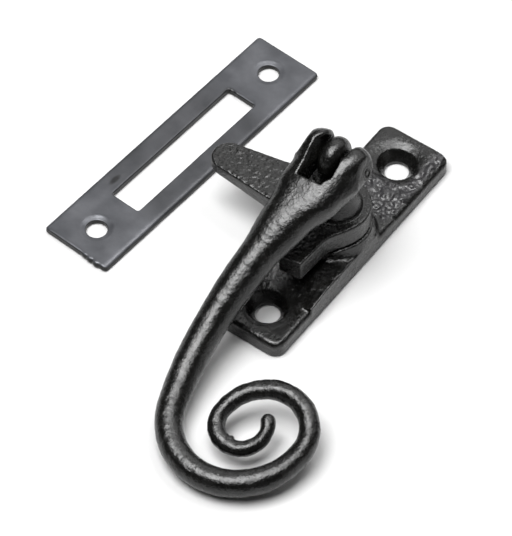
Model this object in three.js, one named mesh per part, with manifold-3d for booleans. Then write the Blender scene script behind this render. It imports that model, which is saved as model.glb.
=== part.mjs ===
// Reversible casement window fastener with a curled tail handle and a loose mortice strike plate.
// Units are millimetres. +Z points away from the window frame. The origin is where the spindle
// axis meets the underside of the backplate. +Y runs along the backplate, away from the handle.
import * as THREE from 'three';
import { mergeVertices } from 'three/addons/utils/BufferGeometryUtils.js';
import Module from 'manifold-3d';

const wasm = await Module();
wasm.setup();

// ---- driving dimensions ----
const GAP = 0.3; // running clearance between separate pieces

const PLATE = { length: 68.4, width: 18.7, corner: 3, thickness: 4.2, edge: 0.9 };
const RAISED = { top: 6.2, from: -21.6, to: 4 }; // thicker middle, on the handle side of the boss
const BOSS = { foot: 10, rim: 9, top: 9 };
const SCREW = { spacing: 50.8, hole: 6, head: 10.4, sink: 2.6 };
const RECESS = { radius: 6.6, depth: 3.4 }; // holds the stud head and its washer

const STUD = { shank: 3.7, head: 5.8, headHeight: 1.8, top: 18 };
const WASHER = { inner: 4.1, outer: 6.2, thickness: 0.4, wave: 0.15, middle: 2.6 };

const LATCH_TURN = 4.1; // degrees the latch stands off square to the backplate
const FLANGE = { radius: 8.5, bottom: BOSS.top + GAP, top: 15 };
const TONGUE = { reach: 31.3, offset: -1, rootHalf: 6.9, tipHalf: 4, tipRadius: 3.4, tipUnderside: 12.2 };
const ARM = { reach: 19.2, endHalf: 2.9, rootHalf: 3.9 }; // tail arm under the handle
const NECK = { radius: 6.2, top: 23.5, shoulder: 3 };
const KNUCKLE = { width: 5.1, radius: 5, rootHalf: 4.2 };

const PIN = { height: 30.5, radius: 1.5, halfLength: 8.1 };
const FORK = { half: 8.4, ear: 5.2, slot: 5.8, crotch: 7.6, flare: 1.5 };

// Handle centreline in plan: arcs of [radius, length], a positive radius curls towards +X.
const HANDLE_ARCS = [
  [-25, 6.75], [175, 29.1], [72, 25.2], [15.2, 22.9], [16.3, 21.4],
  [9, 13.4], [11.2, 17.3], [5.8, 12.5], [5.5, 8], [6, 2.2],
];
// Handle sections at [distance along the handle, half width, half height].
const HANDLE_SECTIONS = [
  [0, FORK.half, FORK.ear], [8, 7.7, 4.7], [16, 5.7, 4.7], [26, 4.35, 4.2], [45, 3.75, 3.75],
  [68, 3.15, 3.15], [90, 3.05, 3.05], [113, 2.35, 2.35], [140, 2, 2], [157, 1.6, 1.6],
];
const HANDLE_SLOPE = 25; // degrees down from the hinge
const CURL_SLOPE = 10; // degrees down once the handle has flattened out into its curl
const FLATTEN = { from: 38, to: 60 }; // distance from the hinge over which the slope eases

const STRIKE = { length: 76, width: 18.6, thickness: 1.6, corner: 0.8 };
const STRIKE_SLOT = { length: 41.5, width: 8 };
const STRIKE_HOLE = { spacing: 61.2, radius: 2.5, sinkRadius: 3.6, sink: 0.7 };
const STRIKE_PLACE = { x: -43.4, y: 1.4, turn: -3.9 };

// ---- solids ----
function solid(geometry) {
  const bare = geometry.clone();
  bare.deleteAttribute('normal');
  bare.deleteAttribute('uv');
  const merged = mergeVertices(bare, 1e-4);
  return new wasm.Manifold(new wasm.Mesh({
    numProp: 3,
    vertProperties: new Float32Array(merged.attributes.position.array),
    triVerts: new Uint32Array(merged.index.array),
  }));
}

function geometryOf(manifold) {
  const mesh = manifold.getMesh();
  const geometry = new THREE.BufferGeometry();
  geometry.setAttribute('position', new THREE.BufferAttribute(mesh.vertProperties, 3));
  geometry.setIndex(new THREE.BufferAttribute(mesh.triVerts, 1));
  geometry.computeVertexNormals();
  return geometry;
}

function box(width, depth, bottom, top, x = 0, y = 0) {
  return solid(new THREE.BoxGeometry(width, depth, top - bottom).translate(x, y, (bottom + top) / 2));
}

// A solid of revolution about +Z through (x, y), from a closed profile of [radius, z] points.
function turned(profile, segments = 40, x = 0, y = 0) {
  const points = profile.map(([radius, z]) => new THREE.Vector2(radius, z));
  return solid(new THREE.LatheGeometry(points, segments).rotateX(Math.PI / 2).translate(x, y, 0));
}

function disc(radius, bottom, top, x = 0, y = 0) {
  return turned([[0, bottom], [radius, bottom], [radius, top], [0, top]], 40, x, y);
}

function roundedRectangle(width, length, corner) {
  const w = width / 2 - corner;
  const l = length / 2 - corner;
  const shape = new THREE.Shape();
  shape.absarc(w, -l, corner, -Math.PI / 2, 0);
  shape.absarc(w, l, corner, 0, Math.PI / 2);
  shape.absarc(-w, l, corner, Math.PI / 2, Math.PI);
  shape.absarc(-w, -l, corner, Math.PI, Math.PI * 1.5);
  return shape;
}

// A slab between two heights, with its top edge rounded over and its lower edge square.
function slab(shape, bottom, top, edge) {
  const settings = {
    depth: top - bottom - edge,
    bevelThickness: edge,
    bevelSize: edge,
    bevelOffset: -edge,
    bevelSegments: 3,
    curveSegments: 6,
  };
  const block = solid(new THREE.ExtrudeGeometry(shape, settings).translate(0, 0, bottom));
  return block.subtract(box(300, 300, bottom - 2 * edge, bottom));
}

// A bore along X through a piece, centred on the hinge pin.
function pinBore(radius, length) {
  const bore = new THREE.CylinderGeometry(radius, radius, length, 28);
  return solid(bore.rotateZ(Math.PI / 2).translate(0, 0, PIN.height));
}

// ---- backplate and pivot ----
function backplate() {
  const { top, from, to } = RAISED;
  const { foot, rim } = BOSS;
  const outline = roundedRectangle(PLATE.width, PLATE.length, PLATE.corner);
  const flats = box(PLATE.width, to - from, 0.5, top, 0, (from + to) / 2);
  const boss = turned([[0, 0.5], [foot, 0.5], [foot, PLATE.thickness], [rim, BOSS.top], [0, BOSS.top]], 48);
  const sides = box(PLATE.width, PLATE.length, 0, BOSS.top + 1);
  let body = slab(outline, 0, PLATE.thickness, PLATE.edge).add(flats.add(boss).intersect(sides));
  for (const y of [-SCREW.spacing / 2, SCREW.spacing / 2]) {
    const head = SCREW.head / 2;
    const hole = SCREW.hole / 2;
    const seat = PLATE.thickness - SCREW.sink;
    const cut = [[0, -1], [hole, -1], [hole, seat], [head, PLATE.thickness], [head, 8], [0, 8]];
    body = body.subtract(turned(cut, 32, 0, y));
  }
  body = body.subtract(disc(STUD.shank + GAP, -1, BOSS.top + 1));
  return body.subtract(disc(RECESS.radius, -1, RECESS.depth));
}

function pivotStud() {
  const { shank, head, headHeight, top } = STUD;
  const chamfer = 0.6;
  return turned([
    [0, 0], [head, 0], [head, headHeight - chamfer], [head - chamfer, headHeight],
    [shank, headHeight], [shank, top - chamfer], [shank - chamfer, top], [0, top],
  ]);
}

function springWasher() {
  const { inner, outer, thickness, wave, middle } = WASHER;
  const low = middle - thickness / 2;
  const high = middle + thickness / 2;
  const ring = [[inner, low], [outer, low], [outer, high], [inner, high], [inner, low]]
    .map(([radius, z]) => new THREE.Vector2(radius, z));
  const geometry = new THREE.LatheGeometry(ring, 48).rotateX(Math.PI / 2);
  const place = geometry.attributes.position;
  for (let i = 0; i < place.count; i += 1) {
    const around = Math.atan2(place.getY(i), place.getX(i));
    place.setZ(i, place.getZ(i) + wave * Math.cos(3 * around));
  }
  return solid(geometry);
}

// ---- latch body: flange, tongue, tail arm, neck and knuckle in one casting ----
function tongue() {
  const { reach, offset, rootHalf, tipHalf, tipRadius, tipUnderside } = TONGUE;
  const shape = new THREE.Shape();
  const shoulder = reach - tipRadius;
  shape.moveTo(-5, rootHalf + offset);
  shape.lineTo(-shoulder, tipHalf + offset);
  shape.quadraticCurveTo(-reach, tipHalf + offset, -reach, offset);
  shape.quadraticCurveTo(-reach, -tipHalf + offset, -shoulder, -tipHalf + offset);
  shape.lineTo(-5, -rootHalf + offset);
  const blade = slab(shape, FLANGE.bottom, FLANGE.top, 0.6);
  const under = new THREE.Shape([
    new THREE.Vector2(-reach - 1, FLANGE.bottom - 1),
    new THREE.Vector2(-reach - 1, tipUnderside),
    new THREE.Vector2(-reach, tipUnderside),
    new THREE.Vector2(-15, 10.9),
    new THREE.Vector2(-9.5, FLANGE.bottom),
    new THREE.Vector2(-9.5, FLANGE.bottom - 1),
  ]);
  const wedge = new THREE.ExtrudeGeometry(under, { depth: 40, bevelEnabled: false });
  return blade.subtract(solid(wedge.rotateX(Math.PI / 2).translate(0, 20, 0)));
}

function tailArm() {
  const { reach, endHalf, rootHalf } = ARM;
  const flare = FLANGE.radius - 0.6;
  const shape = new THREE.Shape();
  shape.moveTo(flare, -2);
  shape.bezierCurveTo(flare - 0.6, -6, rootHalf + 0.2, -7, rootHalf, -11);
  shape.lineTo(endHalf, -reach);
  shape.lineTo(-endHalf, -reach);
  shape.lineTo(-rootHalf, -11);
  shape.bezierCurveTo(-rootHalf - 0.2, -7, -flare + 0.6, -6, -flare, -2);
  return slab(shape, FLANGE.bottom, FLANGE.top, 0.5);
}

function neck() {
  const { radius, top, shoulder } = NECK;
  const base = FLANGE.top - 1;
  const cone = turned([[0, base], [radius, base], [radius, FLANGE.top + 0.6], [shoulder, top], [0, top]]);
  const web = new THREE.Shape();
  web.moveTo(-KNUCKLE.rootHalf, base);
  web.lineTo(KNUCKLE.rootHalf, base);
  web.lineTo(KNUCKLE.radius, PIN.height);
  web.absarc(0, PIN.height, KNUCKLE.radius, 0, Math.PI);
  const settings = { depth: KNUCKLE.width, bevelEnabled: false, curveSegments: 24 };
  const plate = new THREE.ExtrudeGeometry(web, settings).translate(0, 0, -KNUCKLE.width / 2);
  return cone.add(solid(plate.rotateX(Math.PI / 2).rotateZ(Math.PI / 2)));
}

function latchBody() {
  const edge = 0.6;
  const { radius, bottom, top } = FLANGE;
  const rim = [[radius, bottom], [radius, top - edge], [radius - edge, top]];
  const flange = turned([[0, bottom], ...rim, [0, top]], 48);
  const body = flange.add(tongue()).add(tailArm()).add(neck());
  const socket = disc(STUD.shank + GAP, bottom - 1, STUD.top + GAP);
  return body.subtract(socket).subtract(pinBore(PIN.radius + GAP, 20));
}

// ---- handle ----
function slopeDrop(run) {
  const steep = Math.tan(THREE.MathUtils.degToRad(HANDLE_SLOPE));
  const shallow = Math.tan(THREE.MathUtils.degToRad(CURL_SLOPE));
  const span = FLATTEN.to - FLATTEN.from;
  const eased = THREE.MathUtils.clamp(run - FLATTEN.from, 0, span);
  const easing = steep * eased - ((steep - shallow) * eased * eased) / (2 * span);
  return steep * Math.min(run, FLATTEN.from) + easing + shallow * Math.max(run - FLATTEN.to, 0);
}

// The centreline from the far side of the hinge, through its axis and round the arcs to the tip.
class HandleCurve extends THREE.Curve {
  constructor() {
    super();
    this.arcLengthDivisions = 600;
    this.total = HANDLE_ARCS.reduce((sum, arc) => sum + arc[1], 0);
  }

  getPoint(t, target = new THREE.Vector3()) {
    let left = t * (this.total + FORK.ear) - FORK.ear;
    let run = Math.min(left, 0);
    let side = 0;
    let heading = 0;
    for (const [radius, length] of HANDLE_ARCS) {
      const step = THREE.MathUtils.clamp(left, 0, length);
      const next = heading + step / radius;
      run += radius * (Math.sin(next) - Math.sin(heading));
      side += radius * (Math.cos(heading) - Math.cos(next));
      heading = next;
      left -= step;
    }
    return target.set(side, -run, PIN.height - slopeDrop(run));
  }
}

function sectionAt(distance) {
  if (distance < 0) {
    const back = distance / FORK.ear;
    return [FORK.half - 2 * back * back, FORK.ear * Math.sqrt(Math.max(1 - back * back, 0.02))];
  }
  const next = HANDLE_SECTIONS.findIndex(([at]) => at > distance);
  if (next < 0) {
    return HANDLE_SECTIONS.at(-1).slice(1);
  }
  const [from, fromWidth, fromHeight] = HANDLE_SECTIONS[next - 1];
  const [to, toWidth, toHeight] = HANDLE_SECTIONS[next];
  const share = THREE.MathUtils.smoothstep(distance, from, to);
  return [
    THREE.MathUtils.lerp(fromWidth, toWidth, share),
    THREE.MathUtils.lerp(fromHeight, toHeight, share),
  ];
}

// Distances along the handle for its rings: close together round both ends and in tight arcs.
function handleStations() {
  const noseRings = 6;
  const stations = [];
  for (let i = 0; i < noseRings; i += 1) {
    stations.push(-FORK.ear * Math.cos((i / noseRings) * (Math.PI / 2)));
  }
  let along = 0;
  for (const [radius, length] of HANDLE_ARCS) {
    const spacing = THREE.MathUtils.clamp(0.2 * Math.abs(radius), 1.3, 2.6);
    const rings = Math.ceil(length / spacing);
    for (let i = 0; i < rings; i += 1) {
      stations.push(along + (length * i) / rings);
    }
    along += length;
  }
  return [...stations, along - 0.6, along - 0.2, along];
}

// A capped cylinder whose rings are carried along the centreline and sized to the sections.
function handleBar() {
  const sides = 16;
  const stations = handleStations();
  const steps = stations.length - 1;
  const curve = new HandleCurve();
  const length = stations[steps] + FORK.ear;
  const geometry = new THREE.CylinderGeometry(1, 1, 1, sides, steps);
  const place = geometry.attributes.position;
  const up = new THREE.Vector3();
  const across = new THREE.Vector3();
  const point = new THREE.Vector3();
  for (let i = 0; i < place.count; i += 1) {
    const along = stations[Math.round((place.getY(i) + 0.5) * steps)];
    const t = (along + FORK.ear) / length;
    const tangent = curve.getTangent(t);
    across.set(-tangent.y, tangent.x, 0).normalize();
    up.crossVectors(tangent, across).negate();
    const [halfWidth, halfHeight] = sectionAt(along);
    const squareness = THREE.MathUtils.lerp(0.72, 1, THREE.MathUtils.smoothstep(along, 4, 22));
    const tip = Math.sqrt(THREE.MathUtils.clamp((stations[steps] - along) / 1.4, 0.08, 1));
    const cosine = place.getX(i);
    const sine = place.getZ(i);
    const width = Math.sign(cosine) * Math.abs(cosine) ** squareness * halfWidth * tip;
    const height = Math.sign(sine) * Math.abs(sine) ** squareness * halfHeight * tip;
    curve.getPoint(t, point).addScaledVector(across, width).addScaledVector(up, height);
    place.setXYZ(i, point.x, point.y, point.z);
  }
  return solid(geometry);
}

// The slot between the ears runs a little to one side at its crotch, where the handle sweeps off.
function forkSlot() {
  const { slot, crotch, flare } = FORK;
  const half = slot / 2;
  const shape = new THREE.Shape();
  shape.moveTo(-half, 12);
  shape.lineTo(-half, -1);
  shape.lineTo(-half - flare, -crotch);
  shape.lineTo(half - flare, -crotch);
  shape.lineTo(half, -KNUCKLE.radius);
  shape.lineTo(half, 12);
  const cut = new THREE.ExtrudeGeometry(shape, { depth: 30, bevelEnabled: false }).translate(0, 0, -15);
  return solid(cut.rotateX(THREE.MathUtils.degToRad(HANDLE_SLOPE)).translate(0, 0, PIN.height));
}

function handle() {
  const neckRelief = box(FORK.slot, 20, 10, PIN.height, 0, 10 - KNUCKLE.radius - GAP);
  return handleBar().subtract(forkSlot()).subtract(neckRelief).subtract(pinBore(PIN.radius + GAP, 30));
}

function hingePin() {
  const { radius, halfLength } = PIN;
  const profile = [
    [0, -halfLength], [radius - 0.4, -halfLength], [radius, -halfLength + 0.4],
    [radius, halfLength - 0.4], [radius - 0.4, halfLength], [0, halfLength],
  ].map(([r, z]) => new THREE.Vector2(r, z));
  return solid(new THREE.LatheGeometry(profile, 28).rotateZ(-Math.PI / 2).translate(0, 0, PIN.height));
}

// ---- strike plate ----
function strikePlate() {
  const { length, width, thickness, corner } = STRIKE;
  const shape = roundedRectangle(width, length, corner);
  let plate = slab(shape, 0, thickness, 0.3);
  plate = plate.subtract(box(STRIKE_SLOT.width, STRIKE_SLOT.length, -1, thickness + 1));
  const { spacing, radius, sinkRadius, sink } = STRIKE_HOLE;
  for (const y of [-spacing / 2, spacing / 2]) {
    const seat = thickness - sink;
    const cut = [[0, -1], [radius, -1], [radius, seat], [sinkRadius, thickness], [sinkRadius, 3], [0, 3]];
    plate = plate.subtract(turned(cut, 28, 0, y));
  }
  return plate;
}

// ---- assembly ----
const blackPaint = { color: 0x17181a, roughness: 0.42, metalness: 0.1 };
const plainSteel = { color: 0x8d8f92, roughness: 0.4, metalness: 0.9 };
const greySatin = { color: 0x3a3c40, roughness: 0.4, metalness: 0.6 };

function piece(name, manifold, finish) {
  const mesh = new THREE.Mesh(geometryOf(manifold), new THREE.MeshStandardMaterial(finish));
  mesh.name = name;
  return mesh;
}

const assembly = new THREE.Group();
assembly.add(piece('backplate', backplate(), blackPaint));
assembly.add(piece('spring_washer', springWasher(), plainSteel));

const latch = new THREE.Group();
latch.rotation.z = THREE.MathUtils.degToRad(LATCH_TURN);
latch.add(piece('pivot_stud', pivotStud(), plainSteel));
latch.add(piece('latch_body', latchBody(), blackPaint));
latch.add(piece('handle', handle(), blackPaint));
latch.add(piece('hinge_pin', hingePin(), blackPaint));
assembly.add(latch);

const strike = piece('strike_plate', strikePlate(), greySatin);
strike.position.set(STRIKE_PLACE.x, STRIKE_PLACE.y, 0);
strike.rotation.z = THREE.MathUtils.degToRad(STRIKE_PLACE.turn);
assembly.add(strike);

export default assembly;
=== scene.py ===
import math

import bpy
import numpy as np
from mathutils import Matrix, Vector, noise


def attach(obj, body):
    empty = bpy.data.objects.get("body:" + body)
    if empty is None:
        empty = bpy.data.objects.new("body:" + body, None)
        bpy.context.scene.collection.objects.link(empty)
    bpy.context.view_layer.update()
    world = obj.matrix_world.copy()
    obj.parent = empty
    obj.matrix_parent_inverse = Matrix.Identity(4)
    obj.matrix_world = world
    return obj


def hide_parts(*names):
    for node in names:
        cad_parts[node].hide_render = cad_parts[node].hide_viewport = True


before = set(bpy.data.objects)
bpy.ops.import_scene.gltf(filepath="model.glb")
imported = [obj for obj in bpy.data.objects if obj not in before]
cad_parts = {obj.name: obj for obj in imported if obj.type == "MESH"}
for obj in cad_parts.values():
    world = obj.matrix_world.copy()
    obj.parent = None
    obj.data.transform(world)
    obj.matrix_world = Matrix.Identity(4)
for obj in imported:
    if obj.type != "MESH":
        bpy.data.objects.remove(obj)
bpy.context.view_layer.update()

# A casement window fastener: a cast latch that turns on a backplate, a curled handle that flips
# over on a pin in the latch's knuckle, and a loose pressed strike plate. Lengths are millimetres
# until a mesh is made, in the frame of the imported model: +Z up, the spindle axis at the origin.
MM = 0.001

# ---- driving dimensions ----
# A change that has two numbers, such as fades or widens, starts at the first and is complete at
# the second.
PLATE = dict(
    half_width=9.35, half_length=34.2, corner=3.0, top=4.2, edge=1.3, side_edge=0.35, foot_edge=0.25,
)
RAISED = dict(top=6.2, middle=-8.8, half_length=12.8, edge=0.4, fillet=0.6)
BOSS = dict(foot=10.0, rim=9.0, top=9.0, edge=0.35, fillet=0.9)
WORN_EDGE = dict(width=1.3, across=0.6, up=0.8, edge=0.4, fades=(11.5, 7.5))
SCREW = dict(place=25.4, hole=2.9, rim=5.2, sink=3.3, edge=0.5, dish=7.0, dish_depth=0.6, dish_edge=0.35)
RECESS = dict(radius=6.6, depth=3.4)
BORE = dict(radius=4.0, top=18.3, edge=0.3)
ROUGH_PATCH = dict(begins=(8, 12), ends=(21.5, 19), edge_strip=(4.5, 6.5), strip_begins=(8, 14))

LATCH_TURN = math.radians(4.1)
HUB = dict(radius=8.5, bottom=9.3, top=15.0, edge=0.5)
ARM = dict(reach=19.2, end_half=2.9, root_half=3.9, root=11.0, corner=0.45, blend=3.6)
TONGUE = dict(
    reach=31.3, middle=-1.0, root=5.0, root_half=6.9, tip_half=4.0, tip_radius=3.4, edge=0.55, fillet=0.8,
)
# Distance from the spindle, and height of the tongue's underside there.
TONGUE_UNDERSIDE = ((0, 9.3), (9.5, 9.3), (15, 10.9), (31.3, 12.2))
# How far the neck and knuckle reach down into the hub.
EMBEDDED = 1.5
NECK = dict(radius=6.3, height=5.4, depth=6.0, fillet=0.5)
COLLAR = dict(half_x=5.5, half_y=4.4, top=23.6, edge=0.5, fillet=1.0)
KNUCKLE = dict(
    middle=-0.25, half_width=2.5, radius=5.0, edge=2.45, root_half=4.2, widens=(15, 30), fillet=1.2,
    inner_fillet=0.3, room=0.3, bore_edge=0.3,
)

PIN = dict(height=30.5, radius=1.5, play=0.06, face=8.15, peen=0.25, peens=(-1.6, -0.8))
PIN_MARK = dict(radius=0.8, half_width=0.35, depth=0.35)
EAR = dict(
    bulge=0.8, bulges=(7, 1), taller=0.35, fullness=2.75, thins=(4, 22), behind=(-1, 4), side=(1, 3),
    widest=8.4, widest_ends=(4, 9), widest_edge=0.4, crown_edge=0.8, bore_edge=0.1,
)
LEFT_EAR = dict(crown_x=-4.0, crown=5.6, curve=0.17, lift=12, lifts=(0, 6))
RIGHT_EAR = dict(
    crown_x=4.8, crown=4.8, swell=0.25, curve=0.2, flatter=0.1, drift=2.4, forward=(-1, 6),
    inner_lift=3, inner_lifts=(0, 2.8), stem_lift=4, stem_lifts=(9, 18),
)
FACET = dict(tilt=math.radians(17), ends=(3.5, 8), edge=0.3)
# The slot widens on its left and narrows on its right towards its crotch, and its crotch is undercut.
SLOT = dict(
    half=2.9, crotch=7.6, flare=1.5, left_flares=1, right_narrows=5,
    lean=2.1, lean_depth=3.0, leans=(-4.5, -1),
    undercut=1.0, undercut_start=1.2, undercut_depth=3.0, undercuts=(3, 6),
    edge=0.35, round_left=0.7, round_right=1.2,
)
# Radius and length of each arc of the handle's centreline, seen from above, from the pin to the tip.
HANDLE_ARCS = (
    (-25, 6.75), (175, 29.1), (72, 25.2), (15.2, 22.9), (16.3, 21.4),
    (9, 13.4), (11.2, 17.3), (5.8, 12.5), (5.5, 8), (6, 2.2),
)
# Station along the centreline, half width and half height there.
HANDLE_SECTIONS = (
    (0, 8.4, 5.2), (8, 7.7, 4.7), (16, 5.7, 4.7), (26, 4.35, 4.2), (45, 3.75, 3.75),
    (68, 3.15, 3.15), (90, 3.05, 3.05), (113, 2.35, 2.35), (140, 2, 2), (157, 1.6, 1.6),
)
# The handle falls at the first slope up to this stretch of run from the hinge, then at the second.
HANDLE_SLOPE = math.tan(math.radians(25))
CURL_SLOPE = math.tan(math.radians(10))
FLATTEN = (38.0, 60.0)
# Straight stretch of centreline behind the pin.
LEAD_IN = 12.0
CURL_LUMPS = (80, 120)
CURL_BURR = dict(along=146, half_length=1.3, height=0.45, inward=(0.3, 1.6))

STUD = dict(head=5.8, head_top=1.8, shank=3.7, shank_top=18, fillet=0.4, dimple=1.7, dimple_z=-0.9)
WASHER = dict(middle=5.15, half_width=1.05, height=2.6, wave=0.15, waves=3, half_thickness=0.2)

STRIKE = dict(half_width=9.3, half_length=38.0, top=1.6, corner=0.8, edge=0.3, inner_edge=0.25)
STRIKE_ROLL = dict(depth=0.35, width=1.6, rim_depth=0.12, outer_width=0.7, slot_width=0.6)
STRIKE_SLOT = dict(half_width=4.0, half_length=20.75, corner=0.6)
STRIKE_HOLE = dict(place=30.6, radius=2.5, rim=4.2, sink=0.3)
# Beads of paint on one short edge: place and radius of each.
BEADS = (
    (2.8, -37.8, 0.7, 0.6), (4.4, -37.95, 0.65, 0.75), (6.3, -38.0, 0.65, 0.8), (7.9, -37.7, 0.6, 0.6),
)
BEAD = dict(squeeze=1.5, blend=0.5)
SMUDGE = dict(x=-6.2, y=-17.2, across=1.0, length=2.4, fades=(1.3, 0.3), strength=0.9)
SLOT_BURR = dict(reach=(0.9, 0.1), begins=(14, 20), left_of=(2, -3), height=0.22, sink=0.02, stains_and_painted_shade=0.8)
STRIKE_PLACE = dict(x=-43.4, y=1.4, turn=math.radians(-3.9))

# Lowest corner, highest corner and grid step of each piece's mesh.
MESHING = dict(
    backplate=((-9.4, -34.3, 0), (9.4, 34.3, 9.1), 0.25),
    latch=((-31.4, -19.3, 9.2), (8.6, 8.6, 35.6), 0.2),
    handle=((-13.5, -75.5, 0), (31, 6.2, 35.8), 0.25),
    pin=((-8.8, -1.8, 28.7), (8.8, 1.8, 32.3), 0.15),
    stud=((-5.9, -5.9, 0), (5.9, 5.9, 18.1), 0.22),
    washer=((-6.3, -6.3, 2.2), (6.3, 6.3, 3), 0.12),
    strike=((-9.4, -38.7, 0), (9.4, 38.1, 1.7), 0.2),
)
# Added to a limit to take it out of reach.
BEYOND = 60

CAMERA = dict(azimuth=36.08, elevation=52.32, distance=770.27, aim_x=-10.03, aim_y=-16.05, lens=228.36)
LIT = Vector((-10, -16, 0)) * MM
# Here and for the floor's side, lengths are metres; azimuth and elevation are degrees.
SOFTBOXES = dict(
    overhead=dict(width=0.46, depth=0.44, radiance=15, azimuth=-25, elevation=76, distance=0.7),
    rear=dict(width=0.3, depth=0.14, radiance=12, azimuth=160, elevation=69, distance=0.7),
    back_panel=dict(width=1.6, depth=0.6, radiance=1.5, azimuth=190, elevation=42, distance=1.0),
    right_panel=dict(width=0.5, depth=0.25, radiance=1.2, azimuth=97, elevation=8, distance=0.8),
)
WORLD_GREY = 0.06
FLOOR_HALF_SIDE = 1.5
FLOOR_DROP = 0.2 * MM


# ---- distance fields ----
def joined(a, b, blend):
    """Two solids joined, with a fillet of about that size."""
    share = np.clip(0.5 + 0.5 * (b - a) / blend, 0, 1)
    return b + (a - b) * share - blend * share * (1 - share)


def cut(a, b, edge):
    """Solid a without solid b, with the cut's edges eased."""
    return -joined(-a, b, edge)


def kept(a, b, edge):
    """What solids a and b share, with the edges between them eased."""
    return -joined(-a, -b, edge)


def crossed(a, b, corner):
    """Where two slabs overlap, with a round corner of that radius."""
    a, b = a + corner, b + corner
    return np.hypot(np.maximum(a, 0), np.maximum(b, 0)) + np.minimum(np.maximum(a, b), 0) - corner


def rounded_box(x, y, half_x, half_y, corner):
    """An upright box about the Z axis with round corners."""
    return crossed(np.abs(x) - half_x, np.abs(y) - half_y, corner)


def smoothstep(value, low, high):
    t = np.clip((value - low) / (high - low), 0, 1)
    return t * t * (3 - 2 * t)


def backplate_field(x, y, z):
    above = z - PLATE["top"]
    radius = np.hypot(x, y)
    outline = rounded_box(x, y, PLATE["half_width"], PLATE["half_length"], PLATE["corner"])
    body = crossed(outline, above, PLATE["edge"])
    span = np.maximum(np.abs(y - RAISED["middle"]) - RAISED["half_length"], outline)
    body = joined(body, crossed(span, z - RAISED["top"], RAISED["edge"]), RAISED["fillet"])
    cone = BOSS["foot"] - (BOSS["foot"] - BOSS["rim"]) * above / (BOSS["top"] - PLATE["top"])
    body = joined(body, crossed(radius - cone, z - BOSS["top"], BOSS["edge"]), BOSS["fillet"])
    body = kept(body, np.abs(x) - PLATE["half_width"], PLATE["side_edge"])
    worn = WORN_EDGE["across"] * (x - PLATE["half_width"] + WORN_EDGE["width"]) + WORN_EDGE["up"] * above
    body = kept(body, worn - BEYOND * smoothstep(y, *WORN_EDGE["fades"]), WORN_EDGE["edge"])
    for side in (-1, 1):
        body = drilled(body, np.hypot(x, y - side * SCREW["place"]), above)
    body = cut(body, radius - BORE["radius"], BORE["edge"])
    body = cut(body, np.maximum(radius - RECESS["radius"], z - RECESS["depth"]), BORE["edge"])
    return kept(body, -z, PLATE["foot_edge"])


def drilled(body, off, above):
    """A body with a countersunk hole in a shallow dish; off is the distance from the hole's axis."""
    spread = (SCREW["dish"] - SCREW["rim"]) / SCREW["dish_depth"]
    dish = (off - SCREW["dish"] - above * spread) / math.hypot(1, spread)
    body = cut(body, np.maximum(dish, -SCREW["dish_depth"] - above), SCREW["dish_edge"])
    taper = (SCREW["rim"] - SCREW["hole"]) / SCREW["sink"]
    sink = (off - SCREW["rim"] - above * taper) / math.hypot(1, taper)
    return cut(body, np.minimum(off - SCREW["hole"], sink), SCREW["edge"])


def latch_field(x, y, z):
    hub = np.hypot(x, y) - HUB["radius"]
    share = np.clip((-y - ARM["root"]) / (ARM["reach"] - ARM["root"]), -0.6, 1)
    half = ARM["root_half"] + (ARM["end_half"] - ARM["root_half"]) * share
    arm = crossed(np.abs(x) - half, np.maximum(-y - ARM["reach"], y), ARM["corner"])
    plan = joined(hub, arm, ARM["blend"])
    flange = crossed(plan, np.maximum(z - HUB["top"], HUB["bottom"] - z), HUB["edge"])

    straight = TONGUE["reach"] - TONGUE["tip_radius"] - TONGUE["root"]
    share = np.clip((-x - TONGUE["root"]) / straight, -0.4, 1.2)
    half = TONGUE["root_half"] + (TONGUE["tip_half"] - TONGUE["root_half"]) * share
    sides = np.abs(y - TONGUE["middle"]) - half
    blade = crossed(sides, np.maximum(-x - TONGUE["reach"], x), TONGUE["tip_radius"])
    under = np.interp(-x, *zip(*TONGUE_UNDERSIDE)) - z
    tongue = crossed(blade, np.maximum(z - HUB["top"], under), TONGUE["edge"])
    body = joined(flange, tongue, TONGUE["fillet"])

    foot = HUB["top"] - EMBEDDED - z
    lift = (z - HUB["top"]) / NECK["height"]
    stretch = np.sqrt((x / NECK["radius"]) ** 2 + (y / NECK["depth"]) ** 2 + lift ** 2)
    body = joined(body, np.maximum((stretch - 1) * NECK["height"], foot), NECK["fillet"])
    root = KNUCKLE["root_half"]
    root = root + (KNUCKLE["radius"] - root) * smoothstep(z, *KNUCKLE["widens"])
    barrel = np.hypot(y, z - PIN["height"]) - KNUCKLE["radius"]
    post = np.maximum(np.abs(y) - root, np.maximum(z - PIN["height"], foot))
    profile = joined(barrel, post, KNUCKLE["inner_fillet"])
    web = crossed(profile, np.abs(x - KNUCKLE["middle"]) - KNUCKLE["half_width"], KNUCKLE["edge"])
    oval_plan = (np.hypot(x / COLLAR["half_x"], y / COLLAR["half_y"]) - 1) * COLLAR["half_y"]
    collar = crossed(oval_plan, np.maximum(z - COLLAR["top"], foot), COLLAR["edge"])
    body = joined(body, joined(web, collar, COLLAR["fillet"]), KNUCKLE["fillet"])
    body = cut(body, np.maximum(np.hypot(x, y) - BORE["radius"], z - BORE["top"]), BORE["edge"])
    return cut(body, pin_hole(y, z), KNUCKLE["bore_edge"])


def pin_hole(y, z):
    return np.hypot(y, z - PIN["height"]) - PIN["radius"] - PIN["play"]


def arcs():
    """Each stretch of the handle's centreline: radius, length, and where and how it starts."""
    along, side, run, heading = -LEAD_IN, 0.0, -LEAD_IN, 0.0
    straight = 1e5
    for radius, length in ((straight, LEAD_IN), *HANDLE_ARCS):
        yield radius, length, along, side, run, heading
        next_heading = heading + length / radius
        run += radius * (math.sin(next_heading) - math.sin(heading))
        side += radius * (math.cos(heading) - math.cos(next_heading))
        along += length
        heading = next_heading


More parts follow.
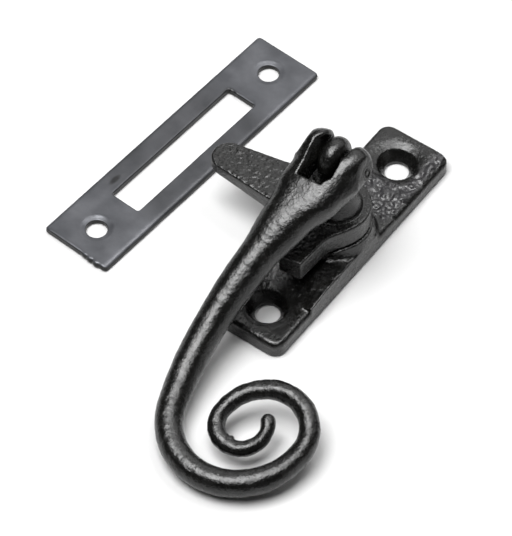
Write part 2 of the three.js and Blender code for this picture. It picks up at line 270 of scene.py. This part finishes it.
def handle_plan(x, y):
    """Where points lie against the handle's centreline, seen from above."""
    nearest = np.full(np.broadcast(x, y).shape, 1e9)
    along, side, run, heading = (np.zeros_like(nearest) for _ in range(4))
    for radius, length, along0, side0, run0, heading0 in arcs():
        turn = math.copysign(1, radius)
        off_side = x - side0 - radius * math.cos(heading0)
        off_run = -y - run0 + radius * math.sin(heading0)
        angle = np.arctan2(turn * off_run, -turn * off_side) - heading0
        middle = length / radius / 2
        angle = (angle - middle + math.pi) % (2 * math.pi) - math.pi + middle
        step = np.clip(angle * radius, 0, length)
        here = heading0 + step / radius
        here_run = run0 + radius * (np.sin(here) - math.sin(heading0))
        here_side = side0 + radius * (math.cos(heading0) - np.cos(here))
        distance = np.hypot(x - here_side, -y - here_run)
        sign = np.sign((x - here_side) * np.cos(here) - (-y - here_run) * np.sin(here))
        closer = distance < nearest
        nearest = np.where(closer, distance, nearest)
        along = np.where(closer, along0 + step, along)
        side = np.where(closer, distance * sign, side)
        run = np.where(closer, here_run, run)
        heading = np.where(closer, here, heading)
    return along, side, run, heading


def handle_height(run):
    """Height and slope of the handle's centreline over a run from the hinge."""
    start, end = FLATTEN
    bent = np.clip(run - start, 0, end - start)
    fall = HANDLE_SLOPE * np.minimum(run, start) + CURL_SLOPE * np.maximum(run - end, 0)
    change = (HANDLE_SLOPE - CURL_SLOPE) / (end - start)
    fall = fall + HANDLE_SLOPE * bent - change * bent ** 2 / 2
    return PIN["height"] - fall, HANDLE_SLOPE - change * bent


def section(along, column):
    """Half width (column 1) or half height (column 2) of the handle, eased between its stations."""
    fine = np.linspace(0, HANDLE_SECTIONS[-1][0], 300)
    table = np.zeros_like(fine)
    for low, high in zip(HANDLE_SECTIONS, HANDLE_SECTIONS[1:]):
        inside = (fine >= low[0]) & (fine <= high[0])
        share = smoothstep(fine[inside], low[0], high[0])
        table[inside] = low[column] + (high[column] - low[column]) * share
    return np.interp(along, fine, table)


def handle_frame(x, y, z):
    """Station, side and height of points, measured square to the handle, and the cosine of its slope."""
    along, side, run, heading = handle_plan(x, y)
    middle, slope = handle_height(run)
    lean = slope * np.cos(heading)
    level = 1 / np.sqrt(1 + lean ** 2)
    rise = z - middle
    return along - rise * lean * level ** 2, side, rise * level, level


def oval(across, up, half_width, half_height, fullness):
    """A section that is an ellipse at a fullness of 2 and grows towards a rectangle above it."""
    reach = (np.abs(across) / half_width) ** fullness + (np.abs(up) / half_height) ** fullness
    return (reach ** (1 / fullness) - 1) * np.minimum(half_width, half_height)


def handle_field(x, y, z):
    along, side, height, level = handle_frame(x, y, z)
    half_width, half_height = section(along, 1), section(along, 2)
    behind = smoothstep(-along, *EAR["behind"])
    left, right = smoothstep(-x, *EAR["side"]), smoothstep(x, *EAR["side"])
    half_width = half_width + EAR["bulge"] * smoothstep(along, *EAR["bulges"])
    half_height = half_height + EAR["taller"] * behind * left
    up = np.where(along < 0, np.hypot(along / level, height), np.abs(height))
    fullness = EAR["fullness"] + (2 - EAR["fullness"]) * smoothstep(along, *EAR["thins"])
    body = oval(side, up, half_width, half_height, fullness)

    tilt = math.atan(HANDLE_SLOPE)
    out = -y * math.cos(tilt) - (z - PIN["height"]) * math.sin(tilt)
    slot = slot_field(x, out, body)
    room = np.maximum(z - PIN["height"], -y - KNUCKLE["radius"] - KNUCKLE["room"])
    slot = np.minimum(slot, np.maximum(np.abs(x) - SLOT["half"], room))
    crown = np.where(x < 0, left_crown(x, out), right_crown(side, along, out))
    body = kept(body, up - crown, EAR["crown_edge"])
    corner = SLOT["edge"] + behind * (SLOT["round_left"] * left + SLOT["round_right"] * right)
    body = crossed(body, -slot, corner)
    widest = EAR["widest"] + BEYOND * smoothstep(-y, *EAR["widest_ends"])
    body = kept(body, np.abs(x) - widest, EAR["widest_edge"])
    body = kept(body, facet_field(x, z) - BEYOND * smoothstep(-y, *FACET["ends"]), FACET["edge"])
    return cut(body, pin_hole(y, z), EAR["bore_edge"])


def slot_field(x, out, body):
    """The fork's slot; out runs along the fork from the pin, body is the distance to its skin."""
    lean = SLOT["lean"] * np.clip(1 + body / SLOT["lean_depth"], 0, 1) * smoothstep(out, *SLOT["leans"])
    flare = SLOT["flare"] * smoothstep(out, SLOT["left_flares"], SLOT["crotch"])
    to_left = SLOT["half"] + np.maximum(flare, lean)
    to_right = SLOT["half"] - SLOT["flare"] * smoothstep(out, SLOT["right_narrows"], SLOT["crotch"])
    deep = np.clip((-body - SLOT["undercut_start"]) / SLOT["undercut_depth"], 0, 1)
    undercut = SLOT["undercut"] * deep * smoothstep(out, *SLOT["undercuts"])
    return np.maximum(np.maximum(-x - to_left, x - to_right), out - SLOT["crotch"] + undercut)


def left_crown(x, out):
    """Height of the left ear's top over the middle of the fork."""
    off = x - LEFT_EAR["crown_x"]
    curve = LEFT_EAR["curve"] * np.where(off < 0, 1, 2)
    return LEFT_EAR["crown"] - curve * off ** 2 + LEFT_EAR["lift"] * smoothstep(out, *LEFT_EAR["lifts"])


def right_crown(side, along, out):
    """The same for the right ear, whose crest drifts inwards and flattens towards the yoke."""
    forward = smoothstep(out, *RIGHT_EAR["forward"])
    off = side - RIGHT_EAR["crown_x"] + RIGHT_EAR["drift"] * forward
    outer_curve = RIGHT_EAR["curve"] - RIGHT_EAR["flatter"] * forward
    curve = np.where(off < 0, RIGHT_EAR["curve"] * (1 - forward), outer_curve)
    crown = RIGHT_EAR["crown"] + RIGHT_EAR["swell"] * forward - curve * off ** 2
    crown = crown + RIGHT_EAR["inner_lift"] * forward * smoothstep(-off, *RIGHT_EAR["inner_lifts"])
    return crown + RIGHT_EAR["stem_lift"] * smoothstep(along, *RIGHT_EAR["stem_lifts"])


def facet_field(x, z):
    """Distance past the flats ground on the outer sides of the fork and the pin's ends."""
    tilt = FACET["tilt"]
    return (np.abs(x) - PIN["face"]) * math.cos(tilt) + (z - PIN["height"]) * math.sin(tilt)


def pin_field(x, y, z):
    """The rivet through the fork, widened at its ends, with a ring pressed into each end."""
    peened = PIN["peen"] * smoothstep(np.abs(x) - PIN["face"], *PIN["peens"])
    radius = np.hypot(y, z - PIN["height"])
    mark = smoothstep(np.abs(radius - PIN_MARK["radius"]), PIN_MARK["half_width"], 0)
    return crossed(radius - PIN["radius"] - peened, facet_field(x, z) + PIN_MARK["depth"] * mark, 0.1)


def stud_field(x, y, z):
    radius = np.hypot(x, y)
    underside = 0.1 + 0.012 * radius ** 2
    head = crossed(radius - STUD["head"], np.maximum(z - STUD["head_top"], underside - z), 0.5)
    shank = crossed(radius - STUD["shank"], np.maximum(z - STUD["shank_top"], 0.5 - z), 0.6)
    dimple = np.sqrt(radius ** 2 + (z - STUD["dimple_z"]) ** 2) - STUD["dimple"]
    return cut(joined(head, shank, STUD["fillet"]), dimple, 0.2)


def washer_field(x, y, z):
    middle = WASHER["height"] + WASHER["wave"] * np.cos(WASHER["waves"] * np.arctan2(y, x))
    across = np.abs(np.hypot(x, y) - WASHER["middle"]) - WASHER["half_width"]
    return crossed(across, np.abs(z - middle) - WASHER["half_thickness"], 0.08)


def eased(distance, width):
    """1 on an edge and outside it, falling to 0 at that width inside it."""
    return np.clip(1 + distance / width, 0, 1) ** 2


def strike_field(x, y, z):
    outline = rounded_box(x, y, STRIKE["half_width"], STRIKE["half_length"], STRIKE["corner"])
    slot = rounded_box(x, y, STRIKE_SLOT["half_width"], STRIKE_SLOT["half_length"], STRIKE_SLOT["corner"])
    roll = STRIKE_ROLL["depth"] * eased(np.abs(x) - STRIKE["half_width"], STRIKE_ROLL["width"])
    roll = roll + STRIKE_ROLL["rim_depth"] * eased(outline, STRIKE_ROLL["outer_width"])
    roll = roll + STRIKE_ROLL["rim_depth"] * eased(-slot, STRIKE_ROLL["slot_width"])
    off = np.hypot(x, np.abs(y) - STRIKE_HOLE["place"])
    roll = roll + STRIKE_HOLE["sink"] * smoothstep(off, STRIKE_HOLE["rim"], STRIKE_HOLE["radius"])
    body = crossed(outline, np.maximum(z - STRIKE["top"] + roll, -z), STRIKE["edge"])
    body = crossed(body, -slot, STRIKE["inner_edge"])
    body = crossed(body, STRIKE_HOLE["radius"] - off, STRIKE["inner_edge"])
    for bead_x, bead_y, bead_z, radius in BEADS:
        off_y = (y - bead_y) * BEAD["squeeze"]
        bead = np.sqrt((x - bead_x) ** 2 + off_y ** 2 + (z - bead_z) ** 2) - radius
        body = joined(body, bead * 0.8, BEAD["blend"])
    return np.maximum(body, -z)


# ---- meshes ----
def surface_net(field, low, high, step):
    """Vertices and quads of the surface where a field is zero, inside a box, on a grid of that step."""
    axes = [np.arange(a - 2.5 * step, b + 3.5 * step, step) for a, b in zip(low, high)]
    values = field(axes[0][:, None, None], axes[1][None, :, None], axes[2][None, None, :])
    values = np.broadcast_to(values, [len(a) for a in axes])
    points, cells, quads = [], [], []
    for axis in range(3):
        lower = np.moveaxis(np.moveaxis(values, axis, 0)[:-1], 0, axis)
        upper = np.moveaxis(np.moveaxis(values, axis, 0)[1:], 0, axis)
        spots = np.stack(np.nonzero((lower < 0) != (upper < 0)), 1)
        first = lower[tuple(spots.T)]
        second = upper[tuple(spots.T)]
        point = spots.astype(float)
        point[:, axis] += first / (first - second)
        corners = []
        for across, up in ((-1, -1), (0, -1), (0, 0), (-1, 0)):
            cell = spots.copy()
            cell[:, (axis + 1) % 3] += across
            cell[:, (axis + 2) % 3] += up
            corners.append(np.ravel_multi_index(cell.T, values.shape))
            points.append(point)
        quad = np.stack(corners, 1)
        quads.append(np.where(first[:, None] < 0, quad, quad[:, ::-1]))
        cells += corners
    cells, points = np.concatenate(cells), np.concatenate(points)
    used, place = np.unique(cells, return_inverse=True)
    count = np.bincount(place)
    vertices = np.stack([np.bincount(place, points[:, i]) / count for i in range(3)], 1)
    vertices = vertices * step + [a[0] for a in axes]
    return vertices, np.searchsorted(used, np.concatenate(quads))


def normals(field, points):
    """Outward directions of a field at points, from its slope over a small nudge."""
    nudge = 0.05
    slopes = []
    for axis in np.eye(3):
        ahead = field(*(points + axis * nudge).T)
        behind = field(*(points - axis * nudge).T)
        slopes.append((ahead - behind) / (2 * nudge))
    slopes = np.stack(slopes, 1)
    return slopes / np.maximum(np.linalg.norm(slopes, axis=1, keepdims=True), 1e-6)


def settled(field, points, step):
    """Points moved onto the exact surface of a field."""
    for _ in range(2):
        move = field(*points.T)[:, None] * normals(field, points)
        points = points - np.clip(move, -step / 2, step / 2)
    return points


def lumps(points, size, seed):
    """Smooth random heights from about -1 to 1, with lumps of that size."""
    shift = Vector((seed * 17.3, seed * 9.1, seed * 4.7))
    return np.array([noise.noise(Vector(p) + shift) for p in points / size])


def turned(points, angle, x=0.0, y=0.0):
    """Points turned about the Z axis and then moved."""
    cosine, sine = math.cos(angle), math.sin(angle)
    return np.stack([
        points[:, 0] * cosine - points[:, 1] * sine + x,
        points[:, 0] * sine + points[:, 1] * cosine + y,
        points[:, 2],
    ], 1)


def make_piece(name, node, body, material, vertices, quads):
    mesh = bpy.data.meshes.new(name)
    mesh.from_pydata((vertices * MM).tolist(), [], quads.tolist())
    mesh.shade_smooth()
    mesh.materials.append(material)
    piece = bpy.data.objects.new(name, mesh)
    bpy.context.scene.collection.objects.link(piece)
    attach(piece, body)
    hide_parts(node)
    return piece


def store(piece, name, values):
    """Keeps one number per point of a piece, for its material."""
    piece.data.attributes.new(name, "FLOAT", "POINT").data.foreach_set("value", values)


# ---- materials ----
class Nodes:
    """A material's node tree, with short ways to add and link its nodes."""

    def __init__(self, name):
        self.material = bpy.data.materials.new(name)
        self.material.use_nodes = True
        self.tree = self.material.node_tree
        self.shader = self.tree.nodes["Principled BSDF"]
        place = self.add("ShaderNodeTexCoord").outputs["Object"]
        self.millimetres = self.scaled(place, (1 / MM,) * 3)

    def add(self, kind, **settings):
        node = self.tree.nodes.new(kind)
        for key, value in settings.items():
            setattr(node, key, value)
        return node

    def link(self, source, target):
        self.tree.links.new(source, target)

    def scaled(self, vector, factors):
        node = self.add("ShaderNodeVectorMath", operation="MULTIPLY")
        self.link(vector, node.inputs[0])
        node.inputs[1].default_value = factors
        return node.outputs[0]

    def noise(self, size, detail=2.0, roughness=0.5):
        """Noise with features about size millimetres across."""
        node = self.add("ShaderNodeTexNoise")
        self.link(self.millimetres, node.inputs["Vector"])
        node.inputs["Scale"].default_value = 1 / size
        node.inputs["Detail"].default_value = detail
        node.inputs["Roughness"].default_value = roughness
        return node.outputs[0]

    def spread(self, value, low, high, to_low, to_high):
        node = self.add("ShaderNodeMapRange")
        self.link(value, node.inputs[0])
        for i, number in enumerate((low, high, to_low, to_high), 1):
            node.inputs[i].default_value = number
        return node.outputs[0]

    def ramp(self, value, *stops):
        node = self.add("ShaderNodeValToRGB")
        self.link(value, node.inputs[0])
        points = node.color_ramp.elements
        while len(points) < len(stops):
            points.new(0.5)
        for point, (position, colour) in zip(points, stops):
            point.position = position
            point.color = (*colour, 1)
        return node.outputs[0]

    def bump(self, height, depth, normal=None):
        """A bump of depth millimetres over a height from 0 to 1."""
        node = self.add("ShaderNodeBump")
        node.inputs["Distance"].default_value = depth * MM
        self.link(height, node.inputs["Height"])
        if normal is not None:
            self.link(normal, node.inputs["Normal"])
        return node.outputs[0]

    def mixed(self, share, first, second):
        """First at a share of 0, second at a share of 1."""
        node = self.add("ShaderNodeMix", data_type="RGBA")
        self.link(share, node.inputs[0])
        self.link(first, node.inputs[6])
        self.link(second, node.inputs[7])
        return node.outputs[2]

    def stored(self, name):
        """A number stored on the mesh's points."""
        return self.add("ShaderNodeAttribute", attribute_name=name).outputs["Fac"]

    def shade(self, colour, roughness, normal):
        self.link(colour, self.shader.inputs["Base Color"])
        self.link(roughness, self.shader.inputs["Roughness"])
        self.link(normal, self.shader.inputs["Normal"])
        return self.material


def black_paint():
    """Semi-gloss black paint over a rough casting."""
    m = Nodes("black_paint")
    m.shader.inputs["IOR"].default_value = 1.5
    base_black = m.ramp(m.noise(4, 4), (0.3, (0.0008, 0.0008, 0.0007)), (0.7, (0.0022, 0.0021, 0.0017)))
    # A lighter grey is mixed in where the stored value is high, as painted sheen standing in for glints
    # on the backplate's rough patch.
    painted_sheen_grey = m.ramp(m.noise(1.4, 4), (0.3, (0.03, 0.029, 0.031)), (0.7, (0.07, 0.068, 0.073)))
    colour = m.mixed(m.stored("painted_sheen"), base_black, painted_sheen_grey)
    roughness = m.spread(m.noise(1.6, 4), 0.3, 0.7, 0.2, 0.31)
    skin = m.bump(m.noise(1.1, 4, 0.6), 0.16)
    grit = m.bump(m.noise(0.5, 3, 0.6), 0.06, skin)
    return m.shade(colour, roughness, grit)


def grey_satin():
    """Blackened pressed steel with a blue-grey satin finish."""
    m = Nodes("grey_satin")
    m.shader.inputs["Metallic"].default_value = 0.55
    bright = m.ramp(m.noise(7, 4), (0.3, (0.052, 0.054, 0.06)), (0.7, (0.098, 0.1, 0.109)))
    # The dark colour is mixed in where the stored value is high: painted shade on walls and other faces
    # that do not face up, dark marks on the plate, and a darker middle along the slot.
    dark = m.ramp(m.noise(1.5, 4), (0.3, (0.006, 0.006, 0.006)), (0.7, (0.014, 0.014, 0.013)))
    colour = m.mixed(m.stored("stains_and_painted_shade"), bright, dark)
    roughness = m.spread(m.noise(2.2, 5), 0.3, 0.7, 0.28, 0.4)
    grain = m.bump(m.noise(0.35, 3), 0.012)
    return m.shade(colour, roughness, m.bump(m.noise(3.5, 2), 0.05, grain))


def plain_steel():
    """Bare turned steel, lightly oxidised."""
    m = Nodes("plain_steel")
    m.shader.inputs["Metallic"].default_value = 1.0
    colour = m.ramp(m.noise(3, 4), (0.3, (0.32, 0.31, 0.3)), (0.7, (0.45, 0.44, 0.43)))
    roughness = m.spread(m.noise(1, 4), 0.3, 0.7, 0.3, 0.5)
    return m.shade(colour, roughness, m.bump(m.noise(0.4, 3), 0.02))


def pale_floor():
    m = Nodes("pale_floor")
    m.shader.inputs["Specular IOR Level"].default_value = 0.2
    colour = m.ramp(m.noise(90, 2), (0.3, (0.5, 0.5, 0.5)), (0.7, (0.52, 0.52, 0.52)))
    roughness = m.spread(m.noise(40, 2), 0.3, 0.7, 0.65, 0.75)
    return m.shade(colour, roughness, m.bump(m.noise(2, 2), 0.02))


# ---- pieces ----
PAINT = black_paint()
SATIN = grey_satin()
STEEL = plain_steel()


def cast(field, low, high, step):
    """Points, quads and outward directions of a field's surface."""
    points, quads = surface_net(field, low, high, step)
    points = settled(field, points, step)
    return points, quads, normals(field, points)


def backplate():
    points, quads, out = cast(backplate_field, *MESHING["backplate"])
    x, y, z = points.T
    upward = np.clip(out[:, 2], 0, 1)
    patch = smoothstep(y, *ROUGH_PATCH["begins"]) * smoothstep(y, *ROUGH_PATCH["ends"])
    strip = smoothstep(x, *ROUGH_PATCH["edge_strip"]) * smoothstep(y, *ROUGH_PATCH["strip_begins"])
    inside = smoothstep(PLATE["half_width"] - np.abs(x), 0.4, 1.8) * smoothstep(z, 2.5, 4)
    ragged = np.clip(patch + strip, 0, 1) * upward * inside
    jagged = 1.0 * np.abs(lumps(points, 3.4, 3)) + 0.6 * np.abs(lumps(points, 1.7, 4)) - 0.45
    raised_end = smoothstep(np.abs(z - RAISED["top"]), 0.8, 0.2) * smoothstep(out[:, 2], 1, 0.9)
    height = 0.05 * lumps(points, 2.6, 1) + 0.03 * lumps(points, 1.1, 2)
    height = height + ragged * (jagged + 0.3 * lumps(points, 0.9, 16))
    height = height + 0.05 * upward * np.abs(lumps(points, 0.9, 17))
    height = height + 0.4 * np.minimum(upward, 0.9) * raised_end * lumps(points, 1.3, 18)
    height = height * smoothstep(z, 0.1, 0.8)
    points = points + out * height[:, None]
    piece = make_piece("cast_backplate", "backplate", "base", PAINT, points, quads)
    # Painted sheen: the rough patch's upward faces get a lighter grey in place of the glints they would
    # catch.
    store(piece, "painted_sheen", 0.4 * ragged * smoothstep(out[:, 2], 0.7, 0.95))


def latch():
    points, quads, out = cast(latch_field, *MESHING["latch"])
    x, _, z = points.T
    upward = np.clip(out[:, 2] * 1.6 - 0.6, 0, 1) * (z < HUB["top"] + 2)
    coarse = 0.35 + 0.65 * smoothstep(-x, 4, 9)
    pits = 0.14 * np.abs(lumps(points, 1.5, 6)) + 0.1 * np.abs(lumps(points, 0.8, 7)) - 0.06
    height = 0.03 * lumps(points, 2.4, 5)
    height = height + upward * coarse * (1.5 * pits + 0.08 * lumps(points, 2.8, 15))
    points = turned(points + out * height[:, None], LATCH_TURN)
    make_piece("cast_latch", "latch_body", "latch", PAINT, points, quads)


def handle():
    points, quads, out = cast(handle_field, *MESHING["handle"])
    along, side, up, _ = handle_frame(*points.T)
    curl = smoothstep(along, *CURL_LUMPS)
    height = (0.06 + 0.1 * curl) * lumps(points, 3.2, 9)
    height = height + 0.035 * lumps(np.stack([along, side * 0.3, up * 0.3], 1), 1.1, 8)
    height = height + (0.035 + 0.045 * curl) * lumps(points, 1.4, 10)
    burr = smoothstep(np.abs(along - CURL_BURR["along"]), CURL_BURR["half_length"], 0)
    height = height + CURL_BURR["height"] * burr * smoothstep(side, *CURL_BURR["inward"])
    points = turned(points + out * height[:, None], LATCH_TURN)
    make_piece("cast_handle", "handle", "handle", PAINT, points, quads)


def hinge_pin():
    points, quads, _ = cast(pin_field, *MESHING["pin"])
    points = turned(points, LATCH_TURN)
    make_piece("peened_pin", "hinge_pin", "handle", PAINT, points, quads)


def pivot_stud():
    points, quads, _ = cast(stud_field, *MESHING["stud"])
    make_piece("peened_stud", "pivot_stud", "latch", STEEL, points, quads)


def spring_washer():
    points, quads, _ = cast(washer_field, *MESHING["washer"])
    make_piece("wave_washer", "spring_washer", "base", STEEL, points, quads)


def strike_plate():
    points, quads, out = cast(strike_field, *MESHING["strike"])
    x, y, _ = points.T
    slot = rounded_box(x, y, STRIKE_SLOT["half_width"], STRIKE_SLOT["half_length"], STRIKE_SLOT["corner"])
    burr = smoothstep(np.abs(slot), *SLOT_BURR["reach"]) * smoothstep(y, *SLOT_BURR["begins"])
    burr = burr * smoothstep(x, *SLOT_BURR["left_of"])
    height = 0.02 * lumps(points, 4, 11) + 0.012 * lumps(points, 1.3, 12)
    ragged = SLOT_BURR["height"] * np.abs(lumps(points, 1.0, 13)) - SLOT_BURR["sink"]
    height = height + burr * ragged
    points = points + out * height[:, None]
    points = turned(points, STRIKE_PLACE["turn"], STRIKE_PLACE["x"], STRIKE_PLACE["y"])
    piece = make_piece("pressed_strike_plate", "strike_plate", "strike", SATIN, points, quads)

    # Painted shade: faces that do not face up, such as the walls, are darkened. The smudge and the burr
    # are dark marks on the plate, and the bars beside the slot are darker towards the slot's middle.
    painted_wall_shade = 1 - smoothstep(out[:, 2], 0.35, 0.75)
    off = np.hypot((x - SMUDGE["x"]) / SMUDGE["across"], (y - SMUDGE["y"]) / SMUDGE["length"])
    smudge = SMUDGE["strength"] * smoothstep(off, *SMUDGE["fades"])
    bars = 0.4 * smoothstep(np.abs(y), 24, 15)
    store(piece, "stains_and_painted_shade", np.max([painted_wall_shade, smudge, bars, SLOT_BURR["stains_and_painted_shade"] * burr], axis=0))


# ---- stage ----
def floor():
    half = FLOOR_HALF_SIDE
    mesh = bpy.data.meshes.new("floor")
    corners = [(-half, -half, 0), (half, -half, 0), (half, half, 0), (-half, half, 0)]
    mesh.from_pydata(corners, [], [(0, 1, 2, 3)])
    mesh.materials.append(pale_floor())
    plane = bpy.data.objects.new("floor", mesh)
    plane.location.z = -FLOOR_DROP
    bpy.context.scene.collection.objects.link(plane)


def direction(azimuth, elevation):
    """From the object towards a place round it; azimuth 0 is on the -Y side, 90 on the +X side."""
    a, e = math.radians(azimuth), math.radians(elevation)
    return Vector((math.sin(a) * math.cos(e), -math.cos(a) * math.cos(e), math.sin(e)))


def place_facing(item, back, target, distance):
    """Puts a light or camera at a distance from its target, looking at it, with its width level."""
    item.location = target + back * distance
    item.rotation_euler = (-back).to_track_quat("-Z", "Y").to_euler()
    bpy.context.scene.collection.objects.link(item)


def softbox(name, width, depth, radiance, azimuth, elevation, distance):
    light = bpy.data.lights.new(name, "AREA")
    light.shape = "RECTANGLE"
    light.size = width
    light.size_y = depth
    light.energy = radiance * math.pi * width * depth
    lamp = bpy.data.objects.new(name, light)
    place_facing(lamp, direction(azimuth, elevation), LIT, distance)


def camera():
    data = bpy.data.cameras.new("camera")
    data.sensor_width = 36
    data.lens = CAMERA["lens"]
    data.clip_start = 0.05
    eye = bpy.data.objects.new("camera", data)
    aim = Vector((CAMERA["aim_x"], CAMERA["aim_y"], 0)) * MM
    back = direction(CAMERA["azimuth"], CAMERA["elevation"])
    place_facing(eye, back, aim, CAMERA["distance"] * MM)
    bpy.context.scene.camera = eye


def surroundings():
    world = bpy.data.worlds.new("studio")
    world.use_nodes = True
    world.node_tree.nodes["Background"].inputs["Color"].default_value = (*(WORLD_GREY,) * 3, 1)
    bpy.context.scene.world = world
    for name, settings in SOFTBOXES.items():
        softbox(name, **settings)
    bpy.context.scene.view_settings.view_transform = "Standard"


backplate()
latch()
handle()
hinge_pin()
pivot_stud()
spring_washer()
strike_plate()
floor()
camera()
surroundings()
